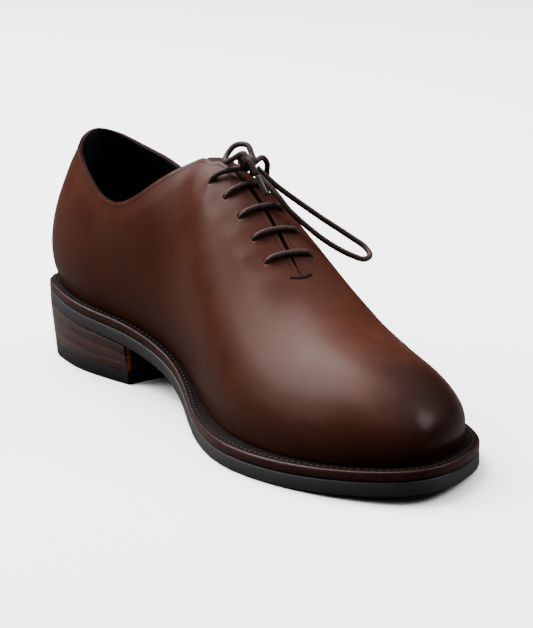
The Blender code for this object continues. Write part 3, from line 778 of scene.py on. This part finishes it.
for name, ends in laceRuns.items():
    makeCord("laceRun" + name, routeThrough(acrossThroat(ends)), ["lace_bar_" + name])
for name, points in laceRises.items():
    hole, facing, start = intoEyelet(points[0])
    share, height = lace["leaving"]
    lift = hole.lerp(Vector(points[1]), share) + facing * height
    makeCord("laceRise" + name, routeThrough([*start, lift, *points[1:]]), ["lace_rise_" + name.lower()])
print("laces threaded")


# Knot, the lace wound round itself
knotShape = {
    "turns": 3.0,
    "reach": 0.0028,
    "tuckedIn": 0.25,  # how much closer the turns at its ends lie
    "length": 0.0072,
    "lean": (0.93, -0.10, -0.15),
    "steps": 60,
}


def makeKnot(settings):
    centre = Vector(bow["knot"])
    axis = Vector(settings["lean"]).normalized()
    side = axis.orthogonal().normalized()
    other = axis.cross(side)
    line = []
    for k in range(settings["steps"] + 1):
        t = k / settings["steps"]
        angle = 2 * math.pi * settings["turns"] * t
        reach = settings["reach"] * (1 - settings["tuckedIn"] * (1 - math.sin(math.pi * t)))
        around = side * math.cos(angle) + other * math.sin(angle)
        line.append(centre + axis * settings["length"] * (t - 0.5) + around * reach)
    return makeCord("laceKnot", line, ["lace_knot"])


makeKnot(knotShape)
print("knot tied")


# Tongue and sock lining
tongueTop = {  # the free end, opened out a little behind the throat
    "from": 0.0120,
    "over": 0.0080,
    "low": 0.0995,
    "rise": 0.0040,
    "back": 0.004,
    "widen": 0.5,
    "lift": 0.40,
    "middle": -0.0015,
}


def makeTongue(settings):
    bm = nodeMesh("tongue")
    for vert in bm.verts:
        share = min(1.0, max(0.0, (vert.co.y - settings["from"]) / settings["over"]))
        share *= share * (3 - 2 * share)
        share *= min(1.0, max(0.0, (vert.co.z - settings["low"]) / settings["rise"]))
        aside = vert.co.x - settings["middle"]
        move = Vector((aside * settings["widen"], settings["back"], abs(aside) * settings["lift"]))
        vert.co += move * share
    joinPairs(bm)
    piece = finishPiece("tongueLeather", bm, [tongueCalf], ["tongue"])
    finer = piece.modifiers.new("finer", "SUBSURF")
    finer.levels = finer.render_levels = 2
    return piece


makeTongue(tongueTop)
sock = finishPiece("sockLining", nodeMesh("insole"), [lining], ["insole"])
roundEdges(sock, 0.0006)  # soft edge of the sock
print("tongue and sock lining made")


# Welt, sole and heel
weltShape = {
    "edgeRound": 0.0003,
    "stitch": {"inset": 0.0020, "pitch": 0.0030, "size": (0.0024, 0.0013, 0.0010)},
}


soleLook = {
    "light": (0.024, 0.0225, 0.023), "dark": (0.016, 0.015, 0.0155), "cloud": 90.0,
    "rough": (0.46, 0.60), "gloss": 0.14, "stipple": 900.0, "bump": (0.0001, 0.25),
}
heelLook = {
    "light": (0.0050, 0.0050, 0.0050), "dark": (0.0028, 0.0028, 0.0028), "cloud": 90.0,
    "rough": (0.45, 0.60), "gloss": 0.15, "stipple": 900.0, "bump": (0.0001, 0.30),
}
stackLook = {
    "layers": (30.0, 30.0, 900.0),  # noise drawn out flat
    "dark": (0.014, 0.0062, 0.0050),
    "light": (0.036, 0.0150, 0.0120),
    "toneSpan": (0.35, 0.65),
    "paintedGlint": (0.24, 0.075, 0.028),  # painted highlight: a bright orange strip at the inner corner of the breast
    "paintedGlintAt": -0.0262,
    "paintedGlintHalf": 0.0010,
    "rough": (0.34, 0.48),
    "specular": 0.2,
    "bump": (0.00008, 0.35),
}


def makeRubber(name, look):
    material, tree, shader = newMaterial(name)
    coords = addNode(tree, "ShaderNodeTexCoord").outputs["Object"]
    cloud = addNoise(tree, coords, look["cloud"], 5.0)
    tree.links.new(addMix(tree, cloud, look["dark"], look["light"]), shader.inputs["Base Color"])
    tree.links.new(addRange(tree, cloud, 0.2, 0.8, *look["rough"]), shader.inputs["Roughness"])
    shader.inputs["Specular IOR Level"].default_value = look["gloss"]
    dots = addNode(tree, "ShaderNodeTexVoronoi")
    dots.inputs["Scale"].default_value = look["stipple"]
    tree.links.new(coords, dots.inputs["Vector"])
    addBump(tree, shader, dots.outputs["Distance"], *look["bump"])
    return material


def makeStack(look):
    material, tree, shader = newMaterial("stackedLeather")
    coords = addNode(tree, "ShaderNodeTexCoord").outputs["Object"]
    stretch = addNode(tree, "ShaderNodeMapping")
    stretch.inputs["Scale"].default_value = look["layers"]
    tree.links.new(coords, stretch.inputs["Vector"])
    layers = addNoise(tree, stretch.outputs["Vector"], 1.0, 4.0, 0.6)
    body = addMix(tree, addRange(tree, layers, *look["toneSpan"]), look["dark"], look["light"])
    facing = addNode(tree, "ShaderNodeSeparateXYZ")
    tree.links.new(addNode(tree, "ShaderNodeNewGeometry").outputs["Normal"], facing.inputs[0])
    place = addNode(tree, "ShaderNodeSeparateXYZ")
    tree.links.new(coords, place.inputs[0])
    # painted highlight: the strip on the breast's inner corner is coloured bright orange
    breast = addMath(tree, "LESS_THAN", facing.outputs["Y"], -0.6)
    aside = addMath(tree, "ABSOLUTE", addMath(tree, "SUBTRACT", place.outputs["X"], look["paintedGlintAt"]))
    strip = addMath(tree, "LESS_THAN", aside, look["paintedGlintHalf"])
    body = addMix(tree, addMath(tree, "MULTIPLY", breast, strip), body, look["paintedGlint"])
    tree.links.new(body, shader.inputs["Base Color"])
    tree.links.new(addRange(tree, layers, 0.3, 0.7, *look["rough"]), shader.inputs["Roughness"])
    shader.inputs["Specular IOR Level"].default_value = look["specular"]
    addBump(tree, shader, layers, *look["bump"])
    return material


soleRubber = makeRubber("soleRubber", soleLook)
heelRubber = makeRubber("heelRubber", heelLook)
stackLeather = makeStack(stackLook)


def topLoop(bm):
    upward = {face for face in bm.faces if face.normal.z > 0.9}
    loops = openLoops(bm, lambda edge: sum(face in upward for face in edge.link_faces) == 1)
    return [vert.co.copy() for vert in loops[0]]


def makeWelt(settings):
    bm = nodeMesh("welt")
    outline = topLoop(bm)
    tree = BVHTree.FromBMesh(bm)
    for face in bm.faces:
        face.material_index = 1 if face.normal.z > 0.8 else 0
    piece = finishPiece("weltStrip", bm, [weltEdge, weltTop], ["welt"])
    roundEdges(piece, settings["edgeRound"])
    bm = bmesh.new()
    stitch = settings["stitch"]
    area = sum(a.x * b.y - a.y * b.x for a, b in zip(outline, [*outline[1:], outline[0]]))
    line = evenly(outline, stitch["pitch"])
    for k, spot in enumerate(line):
        along = (line[(k + 1) % len(line)] - line[k - 1]).normalized()
        inward = Vector((-along.y, along.x, 0)) * math.copysign(1, area)
        above = spot + inward * stitch["inset"] + Vector((0, 0, 0.01))
        hit, normal, _, _ = tree.ray_cast(above, Vector((0, 0, -1)))
        if hit is not None:
            addStitch(bm, hit, along, normal, stitch["size"])
    return finishPiece("weltStitching", bm, [weltThread])


makeWelt(weltShape)


def dressNode(name, node, material, width, stretch=0.0):
    bm = nodeMesh(node)
    middle = sum(vert.co.z for vert in bm.verts) / len(bm.verts)
    for vert in bm.verts:
        vert.co.z += math.copysign(stretch, vert.co.z - middle)
    piece = finishPiece(name, bm, [material], [node])
    roundEdges(piece, width)
    return piece


soleShape = {"edgeRound": 0.00025}
liftShape = {"edgeRound": 0.00008, "stretch": 0.00014}  # the stretch closes the gaps between lifts
topPieceShape = {"edgeRound": 0.0005}

dressNode("rubberSole", "outsole", soleRubber, soleShape["edgeRound"])
for index in (1, 2, 3):
    dressNode(f"stackLift{index}", f"heel_lift_{index}", stackLeather,
              liftShape["edgeRound"], liftShape["stretch"])
dressNode("heelTopPiece", "top_piece", heelRubber, topPieceShape["edgeRound"])
print("welt, sole and heel made")


# Floor and light
studio = {
    "floor": (0.96, 0.950, 0.953),
    "floorRough": 0.85,
    "bounce": (0.07, 0.062, 0.060),  # what the floor throws back, as with black cards beside the shoe
    "world": (0.97, 0.97, 1.0),
    "worldSpan": (0.40, 1.0),  # heights over which it brightens
    "worldLow": 0.04,  # strength below them
    "worldHigh": 2.8,  # strength overhead
    "worldSeen": 3.6,  # behind the shoe in a level view
    "lights": (
        # place, aim, width, height, power
        ((-0.40, 1.10, 1.85), (0.0, 0.0, 0.05), 1.9, 1.9, 212.0),
        ((-1.60, 1.10, 1.15), (0.0, 0.0, 0.05), 1.1, 1.1, 22.0),
        ((1.50, -0.68, 1.20), (0.0, -0.1, 0.05), 1.1, 0.8, 32.0),
    ),
}


def makeStudio(settings):
    bm = bmesh.new()
    bmesh.ops.create_grid(bm, x_segments=2, y_segments=2, size=6.0)
    data = bpy.data.meshes.new("floor")
    bm.to_mesh(data)
    bm.free()
    material, tree, shader = newMaterial("paleFloor")
    coords = addNode(tree, "ShaderNodeTexCoord").outputs["Object"]
    haze = addNoise(tree, coords, 3.0, 3.0)
    pale = settings["floor"]
    seen = addMix(tree, haze, tuple(c * 0.985 for c in pale), pale)
    byCamera = addNode(tree, "ShaderNodeLightPath").outputs["Is Camera Ray"]
    tree.links.new(addMix(tree, byCamera, settings["bounce"], seen), shader.inputs["Base Color"])
    shader.inputs["Roughness"].default_value = settings["floorRough"]
    data.materials.append(material)
    floor = bpy.data.objects.new("floor", data)
    bpy.context.scene.collection.objects.link(floor)
    world = bpy.data.worlds.new("studio")
    world.use_nodes = True
    sky = world.node_tree
    background = sky.nodes["Background"].inputs
    background["Color"].default_value = (*settings["world"], 1.0)
    split = addNode(sky, "ShaderNodeSeparateXYZ")
    sky.links.new(addNode(sky, "ShaderNodeTexCoord").outputs["Generated"], split.inputs[0])
    strengths = (settings["worldLow"], settings["worldHigh"])
    glow = addRange(sky, split.outputs["Z"], *settings["worldSpan"], *strengths)
    byCamera = addNode(sky, "ShaderNodeLightPath").outputs["Is Camera Ray"]
    seen = addMath(sky, "MULTIPLY", byCamera, settings["worldSeen"])
    sky.links.new(addMath(sky, "MAXIMUM", glow, seen), background["Strength"])
    bpy.context.scene.world = world
    for index, (place, aim, width, height, power) in enumerate(settings["lights"]):
        data = bpy.data.lights.new(f"softbox{index + 1}", "AREA")
        data.shape = "RECTANGLE"
        data.size, data.size_y, data.energy = width, height, power
        lamp = bpy.data.objects.new(data.name, data)
        lamp.location = place
        lamp.rotation_euler = (Vector(aim) - Vector(place)).to_track_quat("-Z", "Y").to_euler()
        bpy.context.scene.collection.objects.link(lamp)


makeStudio(studio)
print("floor and lights made")

bpy.context.view_layer.update()
